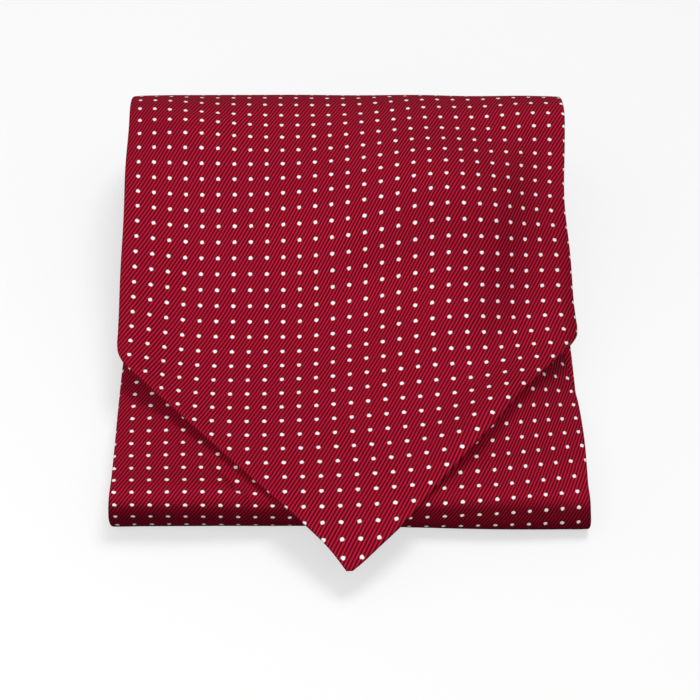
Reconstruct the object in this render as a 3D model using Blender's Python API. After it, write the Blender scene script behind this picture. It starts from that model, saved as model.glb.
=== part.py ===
# Silk cravat, rolled flat and lying on its back layer.
# The tables are in millimetres and degrees. +Z is up and the blade's point is towards -Y.
# The front blade lies face up on top and turns over at the back as a soft roll. The back layer
# runs on from it, flat underneath. At the front the cloth turns up in a soft fold and comes
# back beneath the blade as the under layer. The pleated neck and the second blade lie inside.
# A point of the cloth is named by its distance across (from the middle line) and along.

import math
from collections import namedtuple

import bpy
import bmesh
import numpy as np

Slope = namedtuple("Slope", "along degrees")
Cut = namedtuple("Cut", "along left right")
Swell = namedtuple("Swell", "across along half_across half_along lean height")
Crown = namedtuple("Crown", "along height")

MM = 0.001
WALL = 1.4
SEAM = 0.3
EDGE_ROUND = 0.5
SILK = (0.30, 0.006, 0.028)

# Cut of the front blade: a square point, a little bowed on its left side, then full width.
BLADE_CUT = (
    Cut(3.4, -4.5, -2.6),
    Cut(5.0, -5.6, -0.4),
    Cut(10.0, -9.2, 5.5),
    Cut(18.0, -16.3, 14.4),
    Cut(28.0, -25.8, 23.6),
    Cut(38.0, -35.1, 33.6),
    Cut(50.0, -46.3, 45.6),
    Cut(62.0, -58.6, 56.0),
    Cut(70.0, -68.0, 63.7),
    Cut(76.0, -74.6, 69.9),
    Cut(80.0, -76.9, 73.8),
    Cut(83.5, -77.5, 76.5),
    Cut(87.5, -77.5, 77.5),
)

# Side view of the front blade: it droops at the point, lies level, then climbs to the roll.
BLADE_SLOPES = (
    Slope(0, 40),
    Slope(12, 13),
    Slope(26, 1),
    Slope(45, -3),
    Slope(70, 3),
    Slope(95, 15),
    Slope(120, 22.5),
    Slope(142, 13.5),
    Slope(158, 9),
    Slope(170, 13),
)
POINT_Y = -9.0
POINT_Z = 9.0

# Swells and hollows of the front blade, one row for each.
BLADE_SWELLS = (
    Swell(16, 124, 24, 31, -0.6, 9.5),
    Swell(-20, 50, 44, 68, -1.0, -2.5),
    Swell(-76, 70, 13, 48, -0.2, 5.0),
    Swell(65, 106, 13, 38, 0.2, -8.0),
    Swell(46, 56, 9, 15, 0.6, 6.0),
    Swell(-57, 166, 16, 16, -0.25, 7.0),
    Swell(12, 104, 27, 17, 0.8, -5.0),
    Swell(39, 142, 21, 39, -0.95, 4.5),
    Swell(87, 95, 9, 32, 0.05, -12.0),
    Swell(76, 184, 17, 16, 0.0, 1.2),
    Swell(-74, 184, 14, 14, 0.0, -1.5),
    Swell(-14, 194, 20, 14, 0.0, -1.1),
    Swell(24, 194, 12, 14, 0.0, 0.5),
)
# The rows of the cloth lean by this share of the distance across, and curl forward by
# BLADE_CURL at 50 mm either side. The middle line stands BLADE_SHIFT to the right and wanders
# by the drift and the bow over 100 mm.
BLADE_LEAN = 0.064
BLADE_CURL = 1.5
BLADE_SHIFT = 0.3
BLADE_DRIFT = -2.3
BLADE_BOW = 0.75
BLADE_HELD = 30.0
SWELLS_END = (178.0, 212.0)

# Side view of the under layer from where it leaves the table: forward, up in a fold that leans
# back to a soft crease on its top, then down behind the crease and up to the roll.
FOLD_START = 17.8
FOLD_END = 18.0
UNDER_SLOPES = (
    Slope(0, 180),
    Slope(2, 172),
    Slope(4.5, 128),
    Slope(7, 95),
    Slope(10, 72),
    Slope(13, 57),
    Slope(15.5, 29),
    Slope(18, 0),
    Slope(20.5, -9),
    Slope(26.5, -9.5),
    Slope(40, -7),
    Slope(56, -5),
    Slope(74, -2),
    Slope(90, 10),
    Slope(106, 24),
    Slope(128, 25),
    Slope(140, 17),
    Slope(155, 9),
)
# Ridge at the right, right edge falling to the table, left edge, hollow behind the fold. Then the
# fold's crease, pressed down in the middle and lower at the right, and its foot, set askew.
UNDER_SWELLS = (
    Swell(52, 84, 15, 24, 0.1, 7.5),
    Swell(80, 92, 9, 26, 0.15, -6.5),
    Swell(-72, 60, 18, 26, 0.0, 1.2),
    Swell(34, 44, 20, 14, 0.2, -0.8),
    Swell(-56, 17, 26, 7, 0.0, 1.2),
    Swell(0, 19, 22, 8, 0.0, -1.0),
    Swell(70, 17, 14, 6, 0.0, -1.2),
    Swell(-58, 6.5, 26, 2.6, 0.0, -0.8),
    Swell(56, 6.5, 26, 2.6, 0.0, 1.1),
)
UNDER_HELD = 16.0
UNDER_CLEARANCE = 2.0
UNDER_FREE = 12.0

# Cut of the under layer, measured along from where it leaves the table.
UNDER_CUT = (
    Cut(0.0, -73.4, 73.0),
    Cut(3.0, -74.0, 73.6),
    Cut(9.0, -74.1, 73.8),
    Cut(13.0, -73.8, 73.5),
    Cut(20.0, -73.6, 73.3),
    Cut(28.0, -74.0, 73.7),
    Cut(38.0, -74.5, 74.4),
    Cut(48.0, -75.0, 74.9),
    Cut(58.0, -75.4, 75.5),
    Cut(69.0, -75.8, 76.1),
    Cut(82.0, -75.9, 76.4),
    Cut(100.0, -75.0, 74.0),
    Cut(158.0, -74.0, 73.5),
)

# Cut of the back layer, measured in Y.
BACK_CUT = (
    Cut(18.0, -73.4, 73.0),
    Cut(62.0, -75.6, 75.0),
    Cut(83.0, -76.4, 75.3),
    Cut(120.0, -77.6, 75.8),
    Cut(161.0, -78.8, 76.2),
)

# Plan of the folded core and the highest it reaches, measured in Y.
CORE_PLAN = (
    Cut(19.0, -70.0, 69.0),
    Cut(32.0, -71.0, 69.0),
    Cut(50.0, -71.5, 67.0),
    Cut(70.0, -71.5, 62.0),
    Cut(90.0, -71.5, 61.0),
    Cut(110.0, -71.5, 64.0),
    Cut(130.0, -71.5, 68.0),
    Cut(150.0, -71.5, 69.0),
    Cut(169.0, -70.0, 68.0),
)
CORE_CROWN = (
    Crown(19.0, 60.0),
    Crown(125.0, 60.0),
    Crown(137.0, 24.0),
    Crown(150.0, 24.5),
    Crown(169.0, 22.0),
)
CORE_LAYERS = 5
CORE_GROOVE = 1.1
CORE_NOSE = 7.0
CORE_SLACK = 0.45

# Spacing of the grid that the cloth is laid on.
ALONG_STEP = 2.0
ACROSS_STEP = 4.0
HALF_GRID = 80.0


def column(table, name):
    """One named column of a table as an array."""
    return np.array([getattr(row, name) for row in table], dtype=float)


def eased(knots, values, at):
    """Smooth curve through a short table."""
    slope = np.gradient(values, knots)
    k = np.clip(np.searchsorted(knots, at, side="right") - 1, 0, len(knots) - 2)
    span = knots[k + 1] - knots[k]
    t = np.clip((at - knots[k]) / span, 0.0, 1.0)
    start = (1 + 2 * t) * (1 - t) ** 2 * values[k] + t * (1 - t) ** 2 * span * slope[k]
    end = t * t * (3 - 2 * t) * values[k + 1] + t * t * (t - 1) * span * slope[k + 1]
    return start + end


def smooth_step(t):
    """Eases from nought to one."""
    t = np.clip(t, 0.0, 1.0)
    return t * t * (3 - 2 * t)


def walk(s, heading, y0, z0):
    """Side curve reached by walking the distances s along the given headings."""
    step = np.diff(s)
    middle = (heading[1:] + heading[:-1]) / 2
    y = y0 + np.concatenate([[0.0], np.cumsum(np.cos(middle) * step)])
    z = z0 + np.concatenate([[0.0], np.cumsum(np.sin(middle) * step)])
    return s, y, z, heading


def blade_curve():
    """Side curve of the front blade: its slopes, then one round turn down to the table."""
    knots = column(BLADE_SLOPES, "along")
    s_top = np.arange(0.0, knots[-1] + 0.001, 1.0)
    heading = np.radians(eased(knots, column(BLADE_SLOPES, "degrees"), s_top))
    z_end = walk(s_top, heading, POINT_Y, POINT_Z)[2][-1]
    radius = (z_end - WALL / 2) / (math.cos(heading[-1]) + 1.0)
    turn = np.linspace(0.0, radius * (heading[-1] + math.pi), 67)[1:]
    s = np.concatenate([s_top, s_top[-1] + turn])
    heading = np.concatenate([heading, heading[-1] - turn / radius])
    return walk(s, heading, POINT_Y, POINT_Z)


def under_curve():
    """Side curve of the under layer, from the table forward and over its fold."""
    knots = column(UNDER_SLOPES, "along")
    s = np.arange(0.0, knots[-1] + 0.001, 0.5)
    heading = np.radians(eased(knots, column(UNDER_SLOPES, "degrees"), s))
    return walk(s, heading, FOLD_START, WALL / 2)


def swells(across, along, table):
    """Height that the swells and hollows of a table add to the cloth."""
    total = np.zeros_like(across)
    for row in table:
        w = along - row.along
        u = across - row.across - row.lean * w
        total += row.height * np.exp(-0.5 * ((u / row.half_across) ** 2 + (w / row.half_along) ** 2))
    return total


class LaidCloth:
    """Cloth laid over a side curve and its swells, with its own lengths kept both ways.

    held is the distance along at which the cloth is pinned to the side curve. lean and curl
    move its rows along, shift, drift and bow its middle line. Beyond swells_end it lies plain.
    """

    def __init__(
        self, curve, table, held, lean=0.0, curl=0.0, shift=0.0, drift=0.0, bow=0.0, swells_end=None
    ):
        s, y, z, heading = curve
        self.length = float(s[-1])
        self.across = np.arange(-HALF_GRID, HALF_GRID + 0.1, ACROSS_STEP)
        self.along = np.arange(0.0, self.length + ALONG_STEP, ALONG_STEP)
        u, v = np.meshgrid(self.across, self.along, indexing="ij")
        kept = np.ones_like(v)
        if swells_end:
            kept = 1 - smooth_step((v - swells_end[0]) / (swells_end[1] - swells_end[0]))
        lift = swells(u, v, table) * kept
        self.x = self.sideways(lift, drift, bow) + shift
        slant = lean * self.across + curl * (self.across / 50) ** 2
        travelled = self.distance(curve, lift, held) + slant[:, None] * kept
        if swells_end:
            even = smooth_step((v - swells_end[0] - 8) / (self.length - swells_end[0] - 12))
            travelled = travelled * (1 - even) + v * even
        tilt = np.interp(travelled, s, heading)
        self.y = np.interp(travelled, s, y) - np.sin(tilt) * lift
        self.z = np.interp(travelled, s, z) + np.cos(tilt) * lift

    def distance(self, curve, lift, held):
        """Distance along the side curve at which each point of the cloth lies."""
        s, heading = curve[0], curve[3]
        rise = np.gradient(lift, self.along, axis=1)
        bend = -np.interp(self.along, s, np.gradient(heading, s))
        stretch = 1 + np.clip(bend[None, :] * lift, -0.5, 3.0)
        pace = np.sqrt(np.clip(1 - rise ** 2, 0.05, 1)) / stretch
        run = np.cumsum((pace[:, 1:] + pace[:, :-1]) / 2 * ALONG_STEP, axis=1)
        run = np.concatenate([np.zeros((len(self.across), 1)), run], axis=1)
        return run - run[:, int(held / ALONG_STEP)][:, None] + held

    def sideways(self, lift, drift, bow):
        """X of each point of the cloth, drawn in where the cloth rises and falls."""
        rise = np.gradient(lift, self.across, axis=0)
        pace = np.sqrt(np.clip(1 - rise ** 2, 0.05, 1))
        x = np.cumsum((pace[1:] + pace[:-1]) / 2 * ACROSS_STEP, axis=0)
        x = np.concatenate([np.zeros((1, len(self.along))), x], axis=0)
        w = (self.along - 100) / 100
        return x - x[len(self.across) // 2] + drift * w + bow * w ** 2

    def middle(self, across, along):
        """Points on the middle of the cloth."""
        a = np.clip((across + HALF_GRID) / ACROSS_STEP, 0, len(self.across) - 1.001)
        b = np.clip(along / ALONG_STEP, 0, len(self.along) - 1.001)
        i = a.astype(int)
        j = b.astype(int)
        a = a - i
        b = b - j
        out = []
        for field in (self.x, self.y, self.z):
            near = (1 - a) * field[i, j] + a * field[i + 1, j]
            far = (1 - a) * field[i, j + 1] + a * field[i + 1, j + 1]
            out.append((1 - b) * near + b * far)
        return np.stack(out, axis=-1)


def flat_middle(across, along):
    """Points on the middle of the back layer, flat on the table, measured in X and Y."""
    return np.stack([across, along, np.full_like(across, WALL / 2)], axis=-1)


def edges_at(table, along):
    """Left and right edge of a cut at a distance along it."""
    knots = column(table, "along")
    left = np.interp(along, knots, column(table, "left"))
    right = np.interp(along, knots, column(table, "right"))
    return float(left), float(right)


def grid_of(middle, table, rows, columns):
    """Grid of points on the middle of a cloth, from edge to edge of its cut."""
    across = np.stack([np.linspace(*edges_at(table, v), columns) for v in rows])
    along = np.repeat(np.array(rows, dtype=float)[:, None], columns, axis=1)
    return middle(across, along)


def normals(points):
    """Unit normals of a grid of points, out of the face of the cloth."""
    n = np.cross(np.gradient(points, axis=1), np.gradient(points, axis=0))
    return n / np.linalg.norm(n, axis=2, keepdims=True)


def cloth_rings(middle, table, rows, columns, thin_point=False):
    """Closed rings of a sheet WALL thick, one for each row, with rounded edges."""
    across = []
    for v in rows:
        left, right = edges_at(table, v)
        inner = np.linspace(left + EDGE_ROUND, right - EDGE_ROUND, columns + 1)
        across.append(np.concatenate([[left], inner, [right]]))
    along = np.repeat(np.array(rows, dtype=float)[:, None], columns + 3, axis=1)
    points = middle(np.array(across), along)
    n = normals(points)
    half = np.full((len(rows), 1, 1), WALL / 2)
    if thin_point:
        half[0] = WALL / 5
        half[1] = WALL / 2.6
    upper = points + n * half
    lower = points - n * half
    left_edge, right_edge = points[:, :1], points[:, -1:]
    left_shoulder = left_edge * 0.6 + points[:, 1:2] * 0.4
    right_shoulder = right_edge * 0.6 + points[:, -2:-1] * 0.4
    left_rise = n[:, :1] * half * 0.72
    right_rise = n[:, -1:] * half * 0.72
    rings = np.concatenate([
        left_edge,
        left_shoulder + left_rise,
        upper[:, 1:-1],
        right_shoulder + right_rise,
        right_edge,
        right_shoulder - right_rise,
        lower[:, 1:-1][:, ::-1],
        left_shoulder - left_rise,
    ], axis=1)
    rings[..., 2] = np.maximum(rings[..., 2], 0.0)
    return rings


def tucked(middle, roof):
    """Middle of the under layer, pressed down where the blade above comes too near."""
    def pressed(across, along):
        points = middle(across, along)
        over = points[..., 2] - roof(points[..., 0], points[..., 1]) + UNDER_CLEARANCE
        press = np.where(over > 2, over, np.where(over > -2, (over + 2) ** 2 / 8, 0.0))
        points[..., 2] -= np.where(along > UNDER_FREE, press, 0.0)
        return points
    return pressed


def blade_roof(blade):
    """Height of the blade's middle above a spot, far up where there is no blade."""
    grid = grid_of(blade.middle, BLADE_CUT, np.arange(2.0, 196.0, 4.0), 41)
    blur = 18.0
    enough = 0.35

    def height(x, y):
        out = np.full(x.shape, 90.0)
        for spot in np.ndindex(x.shape):
            gap = (grid[..., 0] - x[spot]) ** 2 + (grid[..., 1] - y[spot]) ** 2
            weight = np.exp(-gap / blur)
            total = weight.sum()
            if total > 0.02:
                lift = 8 * max(0.0, enough - total) / enough
                out[spot] = (weight * grid[..., 2]).sum() / total + lift
        return out
    return height


def core_roof(blade, under_grid):
    """Lowest underside of the cloth within 5 mm of a spot."""
    blade_grid = grid_of(blade.middle, BLADE_CUT, np.arange(60.0, 206.0, 3.0), 53)
    undersides = [grid - normals(grid) * WALL / 2 for grid in (blade_grid, under_grid)]

    def height(x, y):
        out = []
        for px, py in zip(x, y):
            low = CORE_CROWN[0].height
            for grid in undersides:
                near = np.hypot(grid[..., 0] - px, grid[..., 1] - py) < 5.0
                if near.any():
                    low = min(low, float(grid[..., 2][near].min()))
            out.append(low)
        return np.array(out)
    return height


def core_floor(curve, y):
    """Lowest the core reaches: just above the back layer, or inside the blade's round turn."""
    radius = (max(curve[2]) - WALL / 2) / 2
    reach = max(0.0, y - curve[1][-1])
    inner = radius - WALL / 2 - SEAM - 0.08 * min(reach, 5.0)
    return WALL / 2 + radius - math.sqrt(inner ** 2 - reach ** 2)


def core_side(x, y, start, end, outward):
    """Layered edge of the core between two heights."""
    count = 4 * CORE_LAYERS
    points = []
    for k in range(1, count):
        bulge = abs(math.sin(math.pi * CORE_LAYERS * k / count))
        points.append((x + outward * CORE_GROOVE * bulge, y, start + (end - start) * k / count))
    return points


def core_rings(roof, curve):
    """Rings of the folded core: rounded ends, layered sides, its top under the cloth above."""
    front = CORE_PLAN[0].along
    back = CORE_PLAN[-1].along
    rows = [front, front + 1.5, front + 4, front + CORE_NOSE]
    rows += list(np.arange(front + 14, back - 12, 7.0))
    rows += [back - CORE_NOSE - 2, back - 5, back - 2, back]
    columns = 13
    rings = []
    for y in rows:
        left, right = edges_at(CORE_PLAN, y)
        reach = np.linspace(left, right, columns)
        crown = np.interp(y, column(CORE_CROWN, "along"), column(CORE_CROWN, "height"))
        top = np.minimum(roof(reach, np.full(columns, y)), crown) - CORE_SLACK
        padded = np.pad(top, 1, mode="edge")
        top = np.minimum(top, (padded[:-2] + 2 * padded[1:-1] + padded[2:]) / 4)
        floor = core_floor(curve, y)
        near = min(y - front, back - y, CORE_NOSE) / CORE_NOSE
        squash = 0.25 + 0.75 * math.sqrt(1 - (1 - near) ** 2)
        middle = (top + floor) / 2
        top = middle + (top - middle) * squash
        base = np.maximum(middle + (floor - middle) * squash, floor)
        ring = [(reach[i], y, top[i]) for i in range(columns)]
        ring += core_side(right, y, top[-1], base[-1], 1.0)
        ring += [(reach[i], y, base[i]) for i in reversed(range(columns))]
        ring += core_side(left, y, base[0], top[0], -1.0)
        rings.append(np.array(ring))
    return rings


def all_rings():
    """Rings of every body, in the order that the cloth runs, with the core last."""
    curve = blade_curve()
    blade = LaidCloth(
        curve,
        BLADE_SWELLS,
        BLADE_HELD,
        lean=BLADE_LEAN,
        curl=BLADE_CURL,
        shift=BLADE_SHIFT,
        drift=BLADE_DRIFT,
        bow=BLADE_BOW,
        swells_end=SWELLS_END,
    )
    rows = [3.4, 4.2, 5.8, 8.5] + list(np.arange(13.0, 73.0, 5.0)) + [76.0, 80.0, 83.5]
    rows += list(np.arange(87.5, 166.0, 5.0)) + list(np.linspace(170.0, blade.length - 0.02, 20))
    front_blade = cloth_rings(blade.middle, BLADE_CUT, rows, 24, thin_point=True)

    rows = np.linspace(FOLD_START + SEAM, curve[1][-1] - SEAM, 13)
    back_layer = cloth_rings(flat_middle, BACK_CUT, rows, 8)

    under = LaidCloth(under_curve(), UNDER_SWELLS, UNDER_HELD)
    middle = tucked(under.middle, blade_roof(blade))
    rows = list(np.linspace(0.0, FOLD_END, 13)) + list(np.arange(FOLD_END + 3, under.length - 1, 5.0))
    under_layer = cloth_rings(middle, UNDER_CUT, rows, 22)

    under_grid = grid_of(middle, UNDER_CUT, np.arange(FOLD_END, under.length - 1, 3.0), 53)
    return {
        "front_blade": front_blade,
        "back_layer": back_layer,
        "under_layer": under_layer,
        "folded_core": core_rings(core_roof(blade, under_grid), curve),
    }


def close_sheet_end(body, row):
    """Closes the end of a sheet with a strip of faces from its top to its underside."""
    count = len(row)
    for i in range(count // 2):
        corners = []
        for vert in (row[i], row[i + 1], row[count - 1 - i], row[-i]):
            if vert not in corners:
                corners.append(vert)
        body.faces.new(corners)


def solid_from_rings(name, rings, is_sheet):
    """A closed body through rings of equal length, closed at both ends."""
    mesh = bpy.data.meshes.new(name)
    body = bmesh.new()
    rows = [[body.verts.new(tuple(point * MM)) for point in ring] for ring in rings]
    count = len(rows[0])
    for near, far in zip(rows, rows[1:]):
        for i in range(count):
            j = (i + 1) % count
            body.faces.new((near[i], near[j], far[j], far[i]))
    for row in (rows[0], rows[-1]):
        if is_sheet:
            close_sheet_end(body, row)
        else:
            body.faces.new(row)
    bmesh.ops.recalc_face_normals(body, faces=body.faces)
    if body.calc_volume(signed=True) < 0:
        bmesh.ops.reverse_faces(body, faces=body.faces)
    body.to_mesh(mesh)
    body.free()
    mesh.shade_smooth()
    part = bpy.data.objects.new(name, mesh)
    bpy.context.scene.collection.objects.link(part)
    material = bpy.data.materials.new(name + "_silk")
    material.use_nodes = True
    shader = material.node_tree.nodes["Principled BSDF"]
    shader.inputs["Base Color"].default_value = (*SILK, 1.0)
    shader.inputs["Roughness"].default_value = 0.45
    shader.inputs["Metallic"].default_value = 0.0
    mesh.materials.append(material)


def build():
    """Builds the four bodies about the middle of their base."""
    bodies = all_rings()
    spots = np.concatenate([ring for rings in bodies.values() for ring in rings])
    middle = (spots.min(axis=0) + spots.max(axis=0)) / 2
    origin = np.array([middle[0], middle[1], 0.0])
    for name, rings in bodies.items():
        solid_from_rings(name, [ring - origin for ring in rings], name != "folded_core")


for item in list(bpy.data.objects):
    bpy.data.objects.remove(item, do_unlink=True)

build()
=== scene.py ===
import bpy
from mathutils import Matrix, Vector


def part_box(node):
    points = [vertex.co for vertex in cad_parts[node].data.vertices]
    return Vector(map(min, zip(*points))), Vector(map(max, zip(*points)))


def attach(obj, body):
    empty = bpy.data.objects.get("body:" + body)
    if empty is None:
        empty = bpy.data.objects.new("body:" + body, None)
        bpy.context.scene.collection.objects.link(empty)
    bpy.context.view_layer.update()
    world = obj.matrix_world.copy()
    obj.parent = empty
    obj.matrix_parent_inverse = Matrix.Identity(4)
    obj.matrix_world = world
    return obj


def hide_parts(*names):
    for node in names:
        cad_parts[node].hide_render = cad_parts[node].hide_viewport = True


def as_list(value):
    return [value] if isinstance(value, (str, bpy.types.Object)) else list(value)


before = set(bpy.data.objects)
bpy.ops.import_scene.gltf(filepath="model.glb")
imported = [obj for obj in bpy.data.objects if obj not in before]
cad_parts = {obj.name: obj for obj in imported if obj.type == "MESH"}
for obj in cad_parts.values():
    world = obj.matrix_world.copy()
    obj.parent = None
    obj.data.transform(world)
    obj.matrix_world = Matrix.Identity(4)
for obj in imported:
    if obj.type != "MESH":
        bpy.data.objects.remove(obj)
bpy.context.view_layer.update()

import logging
import math
from dataclasses import dataclass
from enum import Enum
from typing import Any, Callable, NamedTuple, Sequence

import bpy
import numpy as np
from mathutils import Vector

log = logging.getLogger("silk_cravat")

# The scene is laid out in millimetres and degrees, as the solids are, and built in metres.
MM = 0.001
WALL = 1.4
SEAM = 0.3
DOT_PITCH = 5.56
# Dot column and row where the blade's cut and the back layer's begin.
BLADE_FIRST_COLUMN = 3.12
BLADE_FIRST_ROW = -18.3
BACK_FIRST_COLUMN = 0.4
# Places across the under layer that the columns of its two pattern tables stand for.
ROW_PLACES = (-65.0, 15.0, 44.0, 70.0)
SHIFT_PLACES = (-65.0, -40.0, 44.0, 70.0)
Grid = np.ndarray
Piece = bpy.types.Object
Socket = bpy.types.NodeSocket
Finish = bpy.types.Material
Named = dict[Any, Any] | None
ClothMap = Callable[[Grid, Grid], Grid]


class Knot(NamedTuple):
    """A height, a shift to the right or a slope in degrees, at a distance along the cloth."""

    along: float
    value: float


class Cut(NamedTuple):
    """Left and right edge of a cut at a distance along it."""

    along: float
    left: float
    right: float


class Swell(NamedTuple):
    """A soft swell, hollow or crease: its middle, its half widths, its lean and its height."""

    across: float
    along: float
    half_across: float
    half_along: float
    lean: float
    height: float


class Across(NamedTuple):
    """Dot rows, or dot columns, at four places across the under layer at a distance along it."""

    along: float
    far_left: float
    left: float
    right: float
    far_right: float


BLADE_CUT = (
    Cut(3.4, -4.5, -2.6), Cut(5.0, -5.6, -0.4), Cut(10.0, -9.2, 5.5), Cut(18.0, -16.3, 14.4),
    Cut(28.0, -25.8, 23.6), Cut(38.0, -35.1, 33.6), Cut(50.0, -46.3, 45.6), Cut(62.0, -58.6, 56.0),
    Cut(70.0, -68.0, 63.7), Cut(76.0, -74.6, 69.9), Cut(80.0, -76.9, 73.8), Cut(83.5, -77.5, 76.5),
    Cut(87.5, -77.5, 77.5),
)
BLADE_SLOPES = (
    Knot(0, 40), Knot(12, 13), Knot(26, 1), Knot(45, -3), Knot(70, 3), Knot(95, 15),
    Knot(120, 22.5), Knot(142, 13.5), Knot(158, 9), Knot(170, 13),
)
BLADE_SWELLS = (
    Swell(16, 124, 24, 31, -0.6, 9.5), Swell(-20, 50, 44, 68, -1.0, -2.5),
    Swell(-76, 70, 13, 48, -0.2, 5.0), Swell(65, 106, 13, 38, 0.2, -8.0),
    Swell(46, 56, 9, 15, 0.6, 6.0), Swell(-57, 166, 16, 16, -0.25, 7.0),
    Swell(12, 104, 27, 17, 0.8, -5.0), Swell(39, 142, 21, 39, -0.95, 4.5),
    Swell(87, 95, 9, 32, 0.05, -12.0), Swell(76, 184, 17, 16, 0.0, 1.2),
    Swell(-74, 184, 14, 14, 0.0, -1.5), Swell(-14, 194, 20, 14, 0.0, -1.1),
    Swell(24, 194, 12, 14, 0.0, 0.5),
)
BLADE_CREASES = (
    Swell(-34, 118, 5.0, 26, -0.35, 0.35), Swell(-27, 112, 4.0, 30, -0.3, -0.4),
    Swell(5, 72, 6.0, 24, -0.5, 0.4), Swell(30, 92, 5.0, 22, -0.3, -0.45),
    Swell(52, 128, 4.5, 28, 0.25, 0.4), Swell(-58, 96, 6.0, 20, 0.15, -0.35),
    Swell(-8, 165, 18, 4.0, 0.0, 0.35), Swell(48, 176, 22, 3.5, 0.0, -0.3),
    Swell(-44, 206, 26, 4.5, 0.0, 0.4), Swell(30, 214, 20, 5.5, 0.0, -0.35),
)
BLADE_SHIFTS = (
    Knot(7.0, 0.9), Knot(18.0, 0.65), Knot(35.0, 0.5), Knot(52.0, -0.3),
    Knot(68.0, -0.5), Knot(85.0, -0.3), Knot(101.0, 0.05),
    Knot(135.0, 0.2), Knot(151.0, 0.3), Knot(168.0, -0.2),
    Knot(185.0, -1.0),
)
UNDER_SLOPES = (
    Knot(0, 180), Knot(2, 172), Knot(4.5, 128), Knot(7, 95), Knot(10, 72), Knot(13, 57),
    Knot(15.5, 29), Knot(18, 0), Knot(20.5, -9), Knot(26.5, -9.5), Knot(40, -7), Knot(56, -5),
    Knot(74, -2), Knot(90, 10), Knot(106, 24), Knot(128, 25), Knot(140, 17), Knot(155, 9),
)
UNDER_SWELLS = (
    Swell(52, 84, 15, 24, 0.1, 7.5), Swell(80, 92, 9, 26, 0.15, -6.5),
    Swell(-72, 60, 18, 26, 0.0, 1.2), Swell(34, 44, 20, 14, 0.2, -0.8),
    Swell(-56, 17, 26, 7, 0.0, 1.2), Swell(0, 19, 22, 8, 0.0, -1.0),
    Swell(70, 17, 14, 6, 0.0, -1.2), Swell(-58, 6.5, 26, 2.6, 0.0, -0.8),
    Swell(56, 6.5, 26, 2.6, 0.0, 1.1),
)
UNDER_CREASES = (
    Swell(-48, 34, 12, 3.0, 0.1, 0.3), Swell(-26, 24, 14, 3.0, 0.0, -0.2),
    Swell(50, 30, 14, 3.5, -0.2, 0.35), Swell(62, 52, 4.5, 16, 0.3, -0.35),
    Swell(-60, 52, 5.0, 14, -0.3, 0.3),
)
UNDER_CUT = (
    Cut(0.0, -73.4, 73.0), Cut(3.0, -74.0, 73.6), Cut(9.0, -74.1, 73.8), Cut(13.0, -73.8, 73.5),
    Cut(20.0, -73.6, 73.3), Cut(28.0, -74.0, 73.7), Cut(38.0, -74.5, 74.4), Cut(48.0, -75.0, 74.9),
    Cut(58.0, -75.4, 75.5), Cut(69.0, -75.8, 76.1), Cut(82.0, -75.9, 76.4), Cut(100.0, -75.0, 74.0),
    Cut(158.0, -74.0, 73.5),
)
BACK_CUT = (
    Cut(18.0, -73.4, 73.0), Cut(62.0, -75.6, 75.0), Cut(83.0, -76.4, 75.3), Cut(120.0, -77.6, 75.8),
    Cut(161.0, -78.8, 76.2),
)
BACK_CREASES = (
    Swell(-52, 120, 5.0, 18, 0.3, 0.3), Swell(48, 60, 6.0, 16, -0.3, 0.35),
)
CORE_PLAN = (
    Cut(19.0, -70.0, 69.0), Cut(32.0, -71.0, 69.0), Cut(50.0, -71.5, 67.0), Cut(70.0, -71.5, 62.0),
    Cut(90.0, -71.5, 61.0), Cut(110.0, -71.5, 64.0), Cut(130.0, -71.5, 68.0),
    Cut(150.0, -71.5, 69.0), Cut(169.0, -70.0, 68.0),
)
CORE_CROWN = (
    Knot(19.0, 60.0), Knot(125.0, 60.0), Knot(137.0, 24.0), Knot(150.0, 24.5),
    Knot(169.0, 22.0),
)
UNDER_ROWS = (
    Across(6.1, -4.0, -4.15, -4.47, -4.72), Across(10.5, -3.0, -2.93, -3.3, -3.75),
    Across(14.2, -2.0, -1.94, -2.4, -2.95), Across(17.7, -1.0, -1.19, -1.6, -2.15),
    Across(22.2, 0.0, -0.39, -0.75, -1.35), Across(27.6, 1.0, 0.5, 0.15, -0.45),
    Across(33.0, 2.0, 1.4, 1.05, 0.45), Across(38.2, 3.0, 2.3, 1.9, 1.27),
    Across(43.4, 4.0, 3.2, 2.8, 2.13), Across(48.7, 5.0, 4.1, 3.7, 3.0),
    Across(54.0, 6.0, 5.0, 4.55, 3.87), Across(60.5, 7.25, 6.1, 5.6, 4.92),
    Across(67.2, 8.5, 7.2, 6.7, 6.0), Across(73.6, 9.6, 8.3, 7.8, 7.0),
    Across(158.0, 24.8, 23.5, 23.0, 22.2),
)
UNDER_SHIFTS = (
    Across(7.0, 9.96, 10.15, 11.03, 11.43), Across(14.0, 9.95, 10.12, 10.95, 11.47),
    Across(20.0, 10.06, 10.2, 10.96, 11.52), Across(33.0, 10.37, 10.5, 10.93, 11.7),
    Across(48.0, 10.6, 10.68, 10.8, 11.78), Across(65.0, 10.66, 10.7, 10.7, 11.5),
)


def column(table: Sequence[NamedTuple], name: str) -> Grid:
    """One named column of a table as an array."""
    return np.array([getattr(row, name) for row in table], dtype=float)


def eased(table: Sequence[NamedTuple], name: str, at: Grid) -> Grid:
    """Smooth curve through one column of a short table.

    Args:
        table: Rows at rising distances along the cloth.
        name: Name of the column.
        at: Distances where the curve is wanted.

    Returns:
        The curve's values.
    """
    knots, values = column(table, "along"), column(table, name)
    slope = np.gradient(values, knots)
    k = np.clip(np.searchsorted(knots, at, side="right") - 1, 0, len(knots) - 2)
    span = knots[k + 1] - knots[k]
    t = np.clip((at - knots[k]) / span, 0.0, 1.0)
    start = (1 + 2 * t) * (1 - t) ** 2 * values[k] + t * (1 - t) ** 2 * span * slope[k]
    end = t * t * (3 - 2 * t) * values[k + 1] + t * t * (t - 1) * span * slope[k + 1]
    return start + end


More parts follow.
